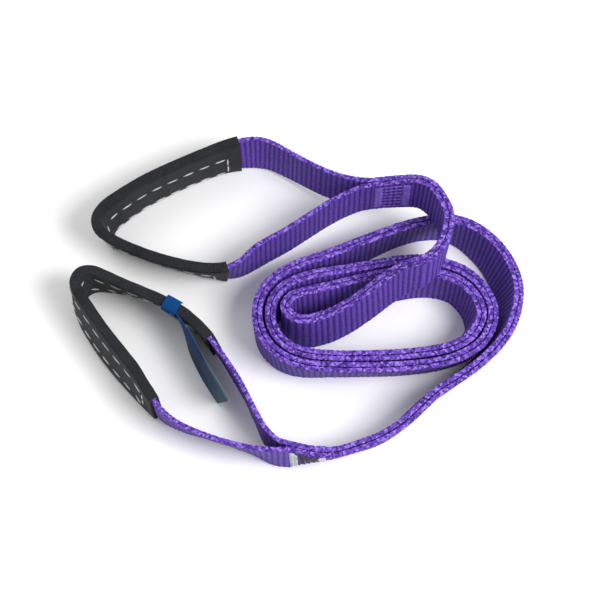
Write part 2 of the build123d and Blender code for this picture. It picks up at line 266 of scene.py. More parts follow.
class Route:
    """The way that a strap takes, smoothly through its stations along the top edge."""

    def __init__(self, stations: list[Station], outward: int, width: float, thickness: float) -> None:
        """Lay the route.

        Args:
            stations: x, y, lift and lean of each station.
            outward: 1 where the outside is on the left of the way, and -1 on the right.
            width: of the strap.
            thickness: of the strap.
        """
        points = self._smooth(np.array(stations, float))
        plan = (points[:, :2] - FOOTPRINT_MIDDLE_MM) * MM
        steps = np.linalg.norm(np.diff(plan, axis=0), axis=1)
        self._arc = np.concatenate([[0.0], np.cumsum(steps)])
        heading = np.gradient(plan, self._arc, axis=0)
        heading /= np.linalg.norm(heading, axis=1)[:, None]
        lean = np.radians(points[:, 3])[:, None]
        flat = np.zeros((len(points), 1))
        self._along = np.hstack([heading, flat])
        side = np.hstack([-heading[:, 1:], heading[:, :1], flat]) * outward
        upright = np.array([0.0, 0.0, 1.0])
        self._across = upright * np.cos(lean) + side * np.sin(lean)
        self._out = side * np.cos(lean) - upright * np.sin(lean)
        lift = np.maximum(points[:, 2:3], 0) * MM
        top = lift + width * np.cos(lean) + thickness / 2 * np.abs(np.sin(lean))
        self._middle = np.hstack([plan, top]) - self._across * (width / 2)
        self.length = float(self._arc[-1])

    @staticmethod
    def _smooth(stations: np.ndarray) -> np.ndarray:
        """Points about half a millimetre apart on the centripetal curve through stations."""
        first = 2 * stations[0] - stations[1]
        last = 2 * stations[-1] - stations[-2]
        knots = np.vstack([first, stations, last])
        gaps = np.linalg.norm(np.diff(knots[:, :2], axis=0), axis=1) ** 0.5
        points = []
        for k in range(1, len(knots) - 2):
            p0, p1, p2, p3 = knots[k - 1:k + 3]
            before, here, after = gaps[k - 1:k + 2]
            slope_1 = ((p1 - p0) / before - (p2 - p0) / (before + here) + (p2 - p1) / here) * here
            slope_2 = ((p2 - p1) / here - (p3 - p1) / (here + after) + (p3 - p2) / after) * here
            u = np.linspace(0, 1, max(6, int(2 * here ** 2)), endpoint=False)[:, None]
            v = 1 - u
            points.append(v * v * (1 + 2 * u) * p1 + u * u * (3 - 2 * u) * p2
                          + u * v * v * slope_1 - u * u * v * slope_2)
        return np.vstack([*points, stations[-1:]])

    def sections(self, start: float, end: float, step: float) -> Sections:
        """Sections from start to end along the way.

        Args:
            start: distance of the first.
            end: distance of the last.
            step: most distance between two.

        Returns:
            The sections.
        """
        arc = np.linspace(start, end, max(2, int(math.ceil((end - start) / step)) + 1))

        def at(values: np.ndarray) -> np.ndarray:
            return np.stack([np.interp(arc, self._arc, values[:, k]) for k in range(3)], axis=1)

        def unit(values: np.ndarray) -> np.ndarray:
            return values / np.linalg.norm(values, axis=1)[:, None]

        return Sections(at(self._middle), unit(at(self._along)), unit(at(self._across)),
                        unit(at(self._out)), arc)


def plain_object(name: str, mesh: bpy.types.Mesh) -> bpy.types.Object:
    """A new object at the origin with mesh, in the scene."""
    thing = bpy.data.objects.new(name, mesh)
    bpy.context.scene.collection.objects.link(thing)
    return thing


def path_mesh(name: str, points: np.ndarray, vectors: dict[str, np.ndarray],
              numbers: dict[str, np.ndarray]) -> bpy.types.Mesh:
    """A mesh of one line through points.

    Args:
        name: of the mesh.
        points: in order.
        vectors: vector attributes of the points.
        numbers: number attributes of the points.

    Returns:
        The mesh.
    """
    mesh = bpy.data.meshes.new(name)
    edges = [(k, k + 1) for k in range(len(points) - 1)]
    mesh.from_pydata([tuple(p) for p in points], edges, [])
    for key, values in vectors.items():
        stored = mesh.attributes.new(key, "FLOAT_VECTOR", "POINT")
        stored.data.foreach_set("vector", values.astype(np.float32).ravel())
    for key, values in numbers.items():
        stored = mesh.attributes.new(key, "FLOAT", "POINT")
        stored.data.foreach_set("value", values.astype(np.float32))
    return mesh


def settle(thing: bpy.types.Object) -> bpy.types.Object:
    """Turn what the object's modifiers make into its plain mesh, faces outwards."""
    graph = bpy.context.evaluated_depsgraph_get()
    mesh = bpy.data.meshes.new_from_object(thing.evaluated_get(graph), preserve_all_data_layers=True,
                                           depsgraph=graph)
    thing.modifiers.clear()
    thing.data = mesh
    mesh.calc_loop_triangles()
    points = np.empty(len(mesh.vertices) * 3)
    mesh.vertices.foreach_get("co", points)
    corners = np.empty(len(mesh.loop_triangles) * 3, int)
    mesh.loop_triangles.foreach_get("vertices", corners)
    a, b, c = points.reshape(-1, 3)[corners.reshape(-1, 3)].transpose(1, 0, 2)
    if (a * np.cross(b, c)).sum() < 0:
        mesh.flip_normals()
    return thing


class Tree:
    """A Geometry Nodes tree with named inputs."""

    kinds = {"Geometry": "NodeSocketGeometry", "Profile": "NodeSocketObject", "Finish": "NodeSocketMaterial"}

    def __init__(self, name: str, numbers: dict[str, float]) -> None:
        """Start the tree with its sockets.

        Args:
            name: of the tree.
            numbers: its number inputs and their usual values.
        """
        self.tree = bpy.data.node_groups.new(name, "GeometryNodeTree")
        self.tree.is_modifier = True
        for key, kind in self.kinds.items():
            self.tree.interface.new_socket(name=key, in_out="INPUT", socket_type=kind)
        for key, value in numbers.items():
            socket = self.tree.interface.new_socket(name=key, in_out="INPUT", socket_type="NodeSocketFloat")
            socket.default_value = value
        self.tree.interface.new_socket(name="Geometry", in_out="OUTPUT", socket_type="NodeSocketGeometry")
        self.nodes = Nodes(self.tree)
        self.given = self.nodes.add("NodeGroupInput").outputs

    def close(self, geometry: Socket) -> None:
        """End the tree with real geometry in its finish."""
        real = self.nodes.add("GeometryNodeRealizeInstances", None, {"Geometry": geometry})
        smooth = self.nodes.add("GeometryNodeSetShadeSmooth", None, {"Geometry": real.outputs[0]})
        dressed = self.nodes.add("GeometryNodeSetMaterial", None,
                                 {"Geometry": smooth.outputs[0], "Material": self.given["Finish"]})
        self.nodes.add("NodeGroupOutput", None, {"Geometry": dressed.outputs[0]})

    def attribute(self, name: str, kind: str) -> Socket:
        """A named attribute of the geometry in hand."""
        node = self.nodes.add("GeometryNodeInputNamedAttribute", {"data_type": kind}, {"Name": name})
        return node.outputs[0]

    def run(self, thing: bpy.types.Object, values: dict[str, object]) -> bpy.types.Object:
        """Run the tree on an object and settle it.

        Args:
            thing: the object.
            values: for the named inputs.

        Returns:
            The same object with its new mesh.
        """
        modifier = thing.modifiers.new(self.tree.name, "NODES")
        modifier.node_group = self.tree
        for item in self.tree.interface.items_tree:
            if item.in_out == "INPUT" and item.name in values:
                modifier[item.identifier] = values[item.name]
        return settle(thing)


class StrapTree(Tree):
    """Sweeps a profile along the sections of a strap, and gives it its ribs and lumpy edges."""

    def __init__(self) -> None:
        """Build the tree."""
        super().__init__("strap", {"Rib Pitch": 0.0036, "Rib Depth": 0.0, "Edge Lump Pitch": 0.0027,
                                   "Edge Lump Height": 0.0, "Swell": 0.0, "Swell Size": 0.01, "Seed": 1.0})
        n, given = self.nodes, self.given
        spine = given["Geometry"]
        profile = n.add("GeometryNodeObjectInfo", None, {"Object": given["Profile"]}).outputs["Geometry"]
        rows = n.add("GeometryNodeAttributeDomainSize", None, {"Geometry": spine}).outputs["Point Count"]
        columns = n.add("GeometryNodeAttributeDomainSize", None, {"Geometry": profile}).outputs["Point Count"]
        grid = n.add("GeometryNodeMeshGrid", None,
                     {"Vertices X": rows, "Vertices Y": columns}).outputs["Mesh"]
        index = n.add("GeometryNodeInputIndex").outputs[0]
        row, column = (n.add("FunctionNodeIntegerMath", {"operation": operation},
                             {0: index, 1: columns}).outputs[0] for operation in ("DIVIDE_FLOOR", "MODULO"))
        place = n.add("GeometryNodeInputPosition").outputs[0]

        def sample(geometry: Socket, value: Socket, at: Socket, kind: str) -> Socket:
            """What geometry holds as value at a point."""
            return n.add("GeometryNodeSampleIndex", {"data_type": kind},
                         {"Geometry": geometry, "Value": value, "Index": at}).outputs[0]

        middle = sample(spine, place, row, "FLOAT_VECTOR")
        across = sample(spine, self.attribute("across_way", "FLOAT_VECTOR"), row, "FLOAT_VECTOR")
        out = sample(spine, self.attribute("out_way", "FLOAT_VECTOR"), row, "FLOAT_VECTOR")
        half_width = sample(spine, self.attribute("half_width", "FLOAT"), row, "FLOAT")
        half_thick = sample(spine, self.attribute("half_thick", "FLOAT"), row, "FLOAT")
        arc = sample(spine, self.attribute("arc", "FLOAT"), row, "FLOAT")
        corner = sample(profile, place, column, "FLOAT_VECTOR")
        shape = n.add("ShaderNodeSeparateXYZ", None, {0: corner}).outputs

        seeded = n.vector("ADD", middle, n.combine(given["Seed"], 0.0, 0.0))
        wander = n.math("MULTIPLY", n.math("SUBTRACT", n.noise(seeded, 55.0), 0.5), 0.0016)
        ribs = n.math("DIVIDE", n.math("ADD", arc, wander), given["Rib Pitch"])
        wave = n.math("ABSOLUTE", n.math("SINE", n.math("MULTIPLY", ribs, math.pi)))
        groove = n.math("SUBTRACT", 1.0, n.math("POWER", wave, 0.55))
        edge = n.math("DIVIDE", n.math("ABSOLUTE", shape[1]), EDGE_DEPTH, clamp=True)
        on_face = n.math("SUBTRACT", 1.0, edge)
        rib_step = n.math("MULTIPLY", n.math("MULTIPLY", groove, given["Rib Depth"]), on_face)

        # the woven edge: slanting loops that differ on its two sides, and some that stand proud
        side = n.math("MULTIPLY", shape[2], 1.9)
        turn = n.math("MULTIPLY", n.math("DIVIDE", arc, given["Edge Lump Pitch"]), math.tau)
        loops = n.math("SINE", n.math("ADD", turn, side))
        loose = n.vector("ADD", seeded, n.vector("SCALE", out, n.math("MULTIPLY", shape[2], 0.002)))
        rough = n.math("SUBTRACT", n.noise(loose, 420.0), 0.5)
        lumps = n.math("ADD", n.math("MULTIPLY", loops, 0.45), n.math("MULTIPLY", rough, 2.4))
        lump_step = n.math("MULTIPLY", n.math("MULTIPLY", lumps, edge), given["Edge Lump Height"])

        where = n.vector("ADD", seeded, n.vector("SCALE", across, n.math("MULTIPLY", shape[0], half_width)))
        size = n.math("DIVIDE", 1.0, given["Swell Size"])
        swell_noise = n.add("ShaderNodeTexNoise", {"noise_dimensions": "3D"},
                            {"Vector": where, "Scale": size, "Detail": 1.0}).outputs[0]
        swell = n.math("MULTIPLY", n.math("MULTIPLY", swell_noise, given["Swell"]), on_face)

        alive = n.math("MULTIPLY", half_thick, 10000.0, clamp=True)
        step = n.math("ADD", n.math("SUBTRACT", lump_step, rib_step), swell)
        radius = n.math("ADD", half_thick, n.math("MULTIPLY", step, alive))
        flat_half = n.math("SUBTRACT", half_width, n.math("MULTIPLY", half_thick, EDGE_DEPTH))
        flat = n.math("MULTIPLY", flat_half, shape[0])
        normal = n.vector("ADD", n.vector("SCALE", across, shape[1]), n.vector("SCALE", out, shape[2]))
        spot = n.vector("ADD", middle, n.vector("SCALE", across, flat))
        spot = n.vector("ADD", spot, n.vector("SCALE", normal, radius))
        moved = n.add("GeometryNodeSetPosition", None, {"Geometry": grid, "Position": spot}).outputs[0]
        for name, value in (("ribs", ribs), ("arc", arc), ("edge", edge), ("height", flat)):
            moved = n.add("GeometryNodeStoreNamedAttribute", {"data_type": "FLOAT", "domain": "POINT"},
                          {"Geometry": moved, "Name": name, "Value": value}).outputs[0]
        merged = n.add("GeometryNodeMergeByDistance", None, {"Geometry": moved, "Distance": 0.000002})
        self.close(merged.outputs[0])


class StitchTree(Tree):
    """Sets stitches along a line, each an oval of thread that dips in at its ends."""

    def __init__(self) -> None:
        """Build the tree."""
        super().__init__("stitches", {"Pitch": 0.011, "Length": 0.0075, "Thick": 0.0011, "Turn": 0.0,
                                      "Untidiness": 0.1, "Seed": 7.0})
        n, given = self.nodes, self.given
        curve = n.add("GeometryNodeMeshToCurve", None, {"Mesh": given["Geometry"]}).outputs[0]
        spaced = n.add("GeometryNodeResampleCurve", {"mode": "LENGTH"},
                       {"Curve": curve, "Length": given["Pitch"]}).outputs[0]
        oval = n.add("GeometryNodeMeshUVSphere", None,
                     {"Segments": 8, "Rings": 6, "Radius": 0.5}).outputs["Mesh"]
        tangent = n.add("GeometryNodeInputTangent").outputs[0]
        facing = self.attribute("facing_way", "FLOAT_VECTOR")
        turned = n.add("FunctionNodeAxesToRotation", {"primary_axis": "Z", "secondary_axis": "X"},
                       {"Primary Axis": facing, "Secondary Axis": tangent})
        size = n.combine(given["Length"], given["Thick"], given["Thick"])
        placed = n.add("GeometryNodeInstanceOnPoints", None,
                       {"Points": spaced, "Instance": oval, "Rotation": turned.outputs[0], "Scale": size})
        whim = n.add("FunctionNodeRandomValue", {"data_type": "FLOAT"},
                     {2: -1.0, 3: 1.0, "Seed": given["Seed"]}).outputs[1]
        angle = n.math("ADD", given["Turn"], n.math("MULTIPLY", whim, given["Untidiness"]))
        spun = n.add("GeometryNodeRotateInstances", None,
                     {"Instances": placed.outputs[0], "Rotation": n.combine(0.0, 0.0, angle)})
        self.close(spun.outputs[0])


def plain_finish(name: str, roughness: float) -> tuple[bpy.types.Material, Nodes, bpy.types.Node]:
    """A new material with its nodes and its shader."""
    material = bpy.data.materials.new(name)
    material.use_nodes = True
    shader = material.node_tree.nodes["Principled BSDF"]
    shader.inputs["Roughness"].default_value = roughness
    return material, Nodes(material.node_tree), shader


@dataclass(frozen=True)
class WebFinish:
    """Violet polyester webbing: ribbed faces, with painted shade in the rib grooves and a painted highlight
    on the rib crests, and flecked woven edges.
    """

    name: str = "violet web"
    # on the faces the deep colour is painted shade in the rib grooves, and the crest colour is a painted
    # highlight on the rib crests; on the edges all four are fleck colours
    deep: tuple[float, float, float] = (0.010, 0.004, 0.050)
    middle: tuple[float, float, float] = (0.064, 0.026, 0.255)
    crest_highlight_and_speck: tuple[float, float, float] = (0.150, 0.068, 0.450)
    fleck: tuple[float, float, float] = (0.330, 0.190, 0.720)
    yarn: float = 0.00125

    def build(self) -> bpy.types.Material:
        """The material."""
        material, n, shader = plain_finish(self.name, 0.62)
        shader.inputs["Sheen Weight"].default_value = 0.04
        shader.inputs["Specular IOR Level"].default_value = 0.12
        shader.inputs["Sheen Roughness"].default_value = 0.4
        place = n.add("ShaderNodeTexCoord").outputs["Object"]

        ribs, edge, height = n.stored("ribs"), n.stored("edge"), n.stored("height")
        # wave follows the ribs: through tone and the face ramp it paints shade into the grooves and a
        # highlight onto the crests, with yarn and random grain tone mixed in
        wave = n.math("ABSOLUTE", n.math("SINE", n.math("MULTIPLY", ribs, math.pi)))
        stagger = n.math("MULTIPLY", n.math("FLOOR", ribs), math.pi / 2)
        phase = n.math("ADD", n.math("MULTIPLY", height, math.pi / self.yarn), stagger)
        yarn = n.math("ABSOLUTE", n.math("SINE", phase))
        grain = n.noise(place, 900.0, 3.0)
        tone = n.math("ADD", n.math("MULTIPLY", wave, 0.55), n.math("MULTIPLY", yarn, 0.16))
        tone = n.math("ADD", tone, n.math("MULTIPLY", n.math("SUBTRACT", grain, 0.38), 0.75))
        face = n.ramp(tone, [(0.08, self.deep), (0.42, self.middle), (0.82, self.crest_highlight_and_speck), (1.0, self.fleck)])
        cells = n.add("ShaderNodeTexVoronoi", None, {"Vector": place, "Scale": 780.0, "Randomness": 1.0})
        lot = n.add("ShaderNodeSeparateColor", None, {0: cells.outputs["Color"]}).outputs[0]
        speck = n.math("ADD", n.math("MULTIPLY", lot, 0.72), n.math("MULTIPLY", grain, 0.42))
        trim = n.ramp(speck, [(0.12, self.deep), (0.40, self.middle), (0.68, self.crest_highlight_and_speck),
                              (0.92, self.fleck)])
        on_edge = n.math("MULTIPLY", edge, 1.25, clamp=True)
        colour = n.mix(on_edge, face, trim)
        worn = n.math("MULTIPLY", n.noise(place, 34.0), 0.5)
        colour = n.mix(n.math("MULTIPLY", worn, 0.35), colour, (*self.middle, 1))
        n.feed(shader.inputs["Base Color"], colour)
        relief = n.math("ADD", n.math("MULTIPLY", yarn, 0.35), n.math("MULTIPLY", grain, 0.65))
        pits = n.math("MULTIPLY", cells.outputs["Distance"], n.math("MULTIPLY", on_edge, -1.0))
        relief = n.math("ADD", relief, pits)
        n.relief(shader, relief, 0.6, 0.0006)
        return material


@dataclass(frozen=True)
class ClothFinish:
    """Plain woven cloth with a fine square weave and uneven wear."""

    name: str
    deep: tuple[float, float, float]
    light: tuple[float, float, float]
    thread: float = 0.0009
    roughness: float = 0.75
    relief: float = 0.45

    def build(self) -> bpy.types.Material:
        """The material."""
        material, n, shader = plain_finish(self.name, self.roughness)
        shader.inputs["Sheen Weight"].default_value = 0.05
        shader.inputs["Specular IOR Level"].default_value = 0.2
        place = n.add("ShaderNodeTexCoord").outputs["Object"]
        arc = n.stored("arc")
        height = n.stored("height")
        warp = n.math("SINE", n.math("MULTIPLY", arc, math.tau / self.thread))
        weft = n.math("SINE", n.math("MULTIPLY", height, math.tau / self.thread))
        weave = n.math("MULTIPLY", warp, weft)
        grain = n.noise(place, 700.0, 3.0)
        patches = n.noise(place, 60.0, 2.0)
        tone = n.math("ADD", n.math("MULTIPLY", weave, 0.14), n.math("MULTIPLY", grain, 0.55))
        tone = n.math("ADD", tone, n.math("MULTIPLY", patches, 0.45))
        n.feed(shader.inputs["Base Color"], n.ramp(tone, [(0.3, self.deep), (0.75, self.light)]))
        relief = n.math("ADD", n.math("MULTIPLY", weave, 0.5), grain)
        n.relief(shader, relief, self.relief, 0.0004)
        return material


@dataclass(frozen=True)
class ThreadFinish:
    """Thick sewing thread, with fine grain and patches of tone."""

    name: str
    deep: tuple[float, float, float]
    light: tuple[float, float, float]

    def build(self) -> bpy.types.Material:
        """The material."""
        material, n, shader = plain_finish(self.name, 0.55)
        shader.inputs["Sheen Weight"].default_value = 0.2
        place = n.add("ShaderNodeTexCoord").outputs["Object"]
        grain = n.noise(place, 1500.0, 2.0)
        patches = n.noise(place, 120.0, 2.0)
        tone = n.math("ADD", n.math("MULTIPLY", grain, 0.6), n.math("MULTIPLY", patches, 0.4))
        n.feed(shader.inputs["Base Color"], n.ramp(tone, [(0.34, self.deep), (0.6, self.light)]))
        n.relief(shader, grain, 0.5, 0.0003)
        return material


@dataclass(frozen=True)
class LabelFinish:
    """Smooth label cloth that fades from blue through navy to a cloudy grey-blue end."""

    name: str
    stops: tuple[tuple[float, tuple[float, float, float]], ...]
    length: float

    def build(self) -> bpy.types.Material:
        """The material."""
        material, n, shader = plain_finish(self.name, 0.55)
        shader.inputs["Specular IOR Level"].default_value = 0.08
        place = n.add("ShaderNodeTexCoord").outputs["Object"]
        arc = n.stored("arc")
        blot = n.math("MULTIPLY", n.math("SUBTRACT", n.noise(place, 90.0, 3.0), 0.5), 0.35)
        share = n.math("ADD", n.math("DIVIDE", arc, self.length), blot)
        n.feed(shader.inputs["Base Color"], n.ramp(share, list(self.stops)))
        grain = n.noise(place, 800.0, 2.0)
        n.relief(shader, grain, 0.25, 0.0004)
        return material


class Workshop:
    """The trees, the profile and the finishes that every piece shares."""

    def __init__(self) -> None:
        """Make them."""
        self.strap_tree = StrapTree()
        self.stitch_tree = StitchTree()
        self.profile = self._profile(7, 6)
        self.web = WebFinish().build()
        self.sleeve = ClothFinish("black sleeve cloth", (0.003, 0.0033, 0.0042),
                                  (0.024, 0.026, 0.031)).build()
        self.white_thread = ThreadFinish("white thread", (0.30, 0.31, 0.33), (0.62, 0.63, 0.65)).build()
        self.grey_thread = ThreadFinish("grey thread", (0.16, 0.17, 0.24), (0.50, 0.52, 0.60)).build()
        self.dark_thread = ThreadFinish("navy thread", (0.008, 0.008, 0.020), (0.035, 0.032, 0.080)).build()
        self.violet_thread = ThreadFinish("violet thread", (0.06, 0.024, 0.24), (0.22, 0.11, 0.60)).build()
        blue = ((0.0, (0.002, 0.050, 0.190)), (0.22, (0.002, 0.028, 0.120)), (0.55, (0.002, 0.020, 0.080)),
                (0.78, (0.020, 0.060, 0.110)), (1.0, (0.050, 0.095, 0.130)))
        grey = ((0.0, (0.040, 0.090, 0.160)), (0.5, (0.060, 0.085, 0.110)), (1.0, (0.150, 0.210, 0.250)))
        sewn = ((0.0, (0.002, 0.026, 0.100)), (0.5, (0.002, 0.040, 0.150)), (1.0, (0.002, 0.055, 0.190)))
        self.label = LabelFinish("blue label", blue, 0.066).build()
        self.sewn_label = LabelFinish("blue sewn end", sewn, 0.050).build()
        self.cover = LabelFinish("cloudy cover", grey, 0.066).build()

    @staticmethod
    def _profile(face_steps: int, end_steps: int) -> bpy.types.Object:
        """The profile with blunt woven edges: x is the share along a face, y and z the way out."""
        angles = [math.pi * k / end_steps for k in range(end_steps)]
        turns = [(math.sin(angle), math.cos(angle)) for angle in angles]
        blunt = [(EDGE_DEPTH * s ** 0.5, math.copysign(abs(c) ** 0.5, c)) for s, c in turns]
        points = [(1 - 2 * k / face_steps, 0.0, 1.0) for k in range(face_steps)]
        points += [(-1.0, -y, z) for y, z in blunt]
        points += [(2 * k / face_steps - 1, 0.0, -1.0) for k in range(face_steps)]
        points += [(1.0, y, -z) for y, z in blunt]
        points.append(points[0])
        thing = bpy.data.objects.new("strap profile", path_mesh("strap profile", np.array(points), {}, {}))
        return thing

    def strap(self, name: str, rows: Sections, half_width: np.ndarray, half_thick: np.ndarray,
              finish: bpy.types.Material, **values: float) -> bpy.types.Object:
        """Sweep one strap.

        Args:
            name: of the piece.
            rows: its sections.
            half_width: at each section.
            half_thick: at each section.
            finish: its material.
            values: for the tree's named inputs, with _ for a space.

        Returns:
            The piece.
        """
        mesh = path_mesh(name, rows.middle, {"across_way": rows.across, "out_way": rows.out},
                         {"half_width": half_width, "half_thick": half_thick, "arc": rows.arc})
        inputs: dict[str, object] = {key.replace("_", " "): value for key, value in values.items()}
        inputs |= {"Profile": self.profile, "Finish": finish}
        return self.strap_tree.run(plain_object(name, mesh), inputs)

    def closed_strap(self, name: str, rows: Sections, width: float, thickness: float,
                     finish: bpy.types.Material, **values: float) -> bpy.types.Object:
        """A solid strap of one width, closed at both ends."""
        order = np.concatenate([[0], np.arange(len(rows.arc)), [len(rows.arc) - 1]])
        full = np.ones(len(order))
        full[[0, -1]] = 0.0
        rows = rows.picked(order)
        return self.strap(name, rows, full * width / 2, full * thickness / 2, finish, **values)

    def stitches(self, name: str, lines: list[tuple[np.ndarray, np.ndarray]], finish: bpy.types.Material,
                 **values: float) -> bpy.types.Object:
        """Sew along lines.

        Args:
            name: of the piece.
            lines: the points of each line, and the way that the cloth faces there.
            finish: its material.
            values: for the tree's named inputs, with _ for a space.

        Returns:
            The piece.
        """
        points = np.concatenate([line for line, _ in lines])
        facing = np.concatenate([way for _, way in lines])
        mesh = bpy.data.meshes.new(name)
        edges, first = [], 0
        for line, _ in lines:
            edges += [(first + k, first + k + 1) for k in range(len(line) - 1)]
            first += len(line)
        mesh.from_pydata([tuple(p) for p in points], edges, [])
        mesh.attributes.new("facing_way", "FLOAT_VECTOR", "POINT").data.foreach_set(
            "vector", facing.astype(np.float32).ravel())
        inputs: dict[str, object] = {key.replace("_", " "): value for key, value in values.items()}
        return self.stitch_tree.run(plain_object(name, mesh), inputs | {"Finish": finish})


def joined_piece(name: str, pieces: list[bpy.types.Object]) -> bpy.types.Object:
    """One object from several, each keeping its material."""
    with bpy.context.temp_override(active_object=pieces[0], selected_editable_objects=pieces):
        bpy.ops.object.join()
    pieces[0].name = name
    return pieces[0]


@dataclass
class Webbing:
    """The webbing's sizes."""

    width: float = 0.030
    thickness: float = 0.0032
    ply_gap: float = 0.0002
    rib_pitch: float = 0.00355
    rib_depth: float = 0.00050
    eye_rib_depth: float = 0.00024     # the eyes' web is pulled smoother
    step: float = 0.0006
    splice_cut: float = 0.028          # from a hinge line to where the eye's ply is let into the body
    thread_margin: float = 0.0035      # from the web's edge to the end of a splice's bars

    @property
    def body_thickness(self) -> float:
        """Of the two plies together."""
        return 2 * self.thickness + self.ply_gap

    @property
    def ply_offset(self) -> float:
        """From the middle of the body to the middle of a ply."""
        return (self.thickness + self.ply_gap) / 2

    def dressed(self, length: float, seed: float, depth: float) -> dict[str, float]:
        """The strap tree's inputs for a web, with a whole number of ribs of a depth on length."""
        return {"Rib_Pitch": length / round(length / self.rib_pitch), "Rib_Depth": depth,
                "Edge_Lump_Pitch": 0.0029, "Edge_Lump_Height": 0.00034, "Swell": -0.0002,
                "Swell_Size": 0.012, "Seed": seed}


@dataclass
class SlingBody:
    """The two-ply body and the sewn blocks at its ends."""

    shop: Workshop
    web: Webbing
    route: Route
    splice_a: tuple[float, float] = (0.004, 0.020)    # start from the body's first end, and length
    splice_b: tuple[float, float] = (0.020, 0.018)    # start from the body's last end, and length

    def build(self) -> None:
        """Make the plies and the splice stitches."""
        for name, offset, seed in (("outer", self.web.ply_offset, 1.0), ("inner", -self.web.ply_offset, 2.0)):
            cut = self.web.splice_cut
            rows = self.route.sections(cut, self.route.length - cut, self.web.step).moved(out=offset)
            dress = self.web.dressed(self.route.length, seed, self.web.rib_depth)
            piece = self.shop.closed_strap(f"body_{name}_web", rows, self.web.width, self.web.thickness,
                                           self.shop.web, **dress)
            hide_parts(f"body_{name}_ply")
            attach(piece, Body.COIL.value)
            log.info("%s: %.0f mm of ribbed web", piece.name, 1000 * (rows.arc[-1] - rows.arc[0]))
        self._splice("a", self.splice_a[0], self.splice_a[1])
        self._splice("b", self.route.length - self.splice_b[0], self.splice_b[1])

    def _splice(self, end: str, start: float, length: float) -> None:
        """The sewn block that closes an eye.

        Args:
            end: a or b.
            start: distance of the block's first bar.
            length: of the block.
        """
        rows = self.route.sections(start, start + length, 0.0005)
        reach = self.web.width / 2 - self.web.thread_margin
        face = self.web.body_thickness / 2 + THREAD_LIFT
        pieces = []
        for side, bar_finish, row_finish in (
                (1.0, self.shop.white_thread, self.shop.dark_thread),
                (-1.0, self.shop.violet_thread, self.shop.violet_thread)):
            bars = []
            for k in (0, 4, len(rows.arc) - 5, len(rows.arc) - 1):
                shift = np.linspace(-reach, reach, 12)[:, None]
                line = rows.middle[k] + rows.out[k] * side * face + rows.across[k] * shift
                bars.append((line, np.repeat(rows.out[k:k + 1] * side, 12, axis=0)))
            pieces.append(self.shop.stitches(f"bars {end} {side}", bars, bar_finish, Pitch=0.0011,
                                             Length=0.0034, Thick=0.0011, Turn=math.pi / 2, Untidiness=0.35))
            lines = []
            for shift in np.linspace(-reach, reach, 7):
                line = rows.moved(out=side * face, across=float(shift))
                lines.append((line.middle[6:-6], rows.out[6:-6] * side))
            pieces.append(self.shop.stitches(f"rows {end} {side}", lines, row_finish, Pitch=0.0030,
                                             Length=0.0034, Thick=0.0010, Turn=0.0, Untidiness=0.25))
        piece = joined_piece(f"splice_{end}_thread", pieces)
        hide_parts(f"splice_{end}_stitches")
        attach(piece, Body.COIL.value)
        log.info("%s: sewn block of %.0f mm", piece.name, 1000 * length)


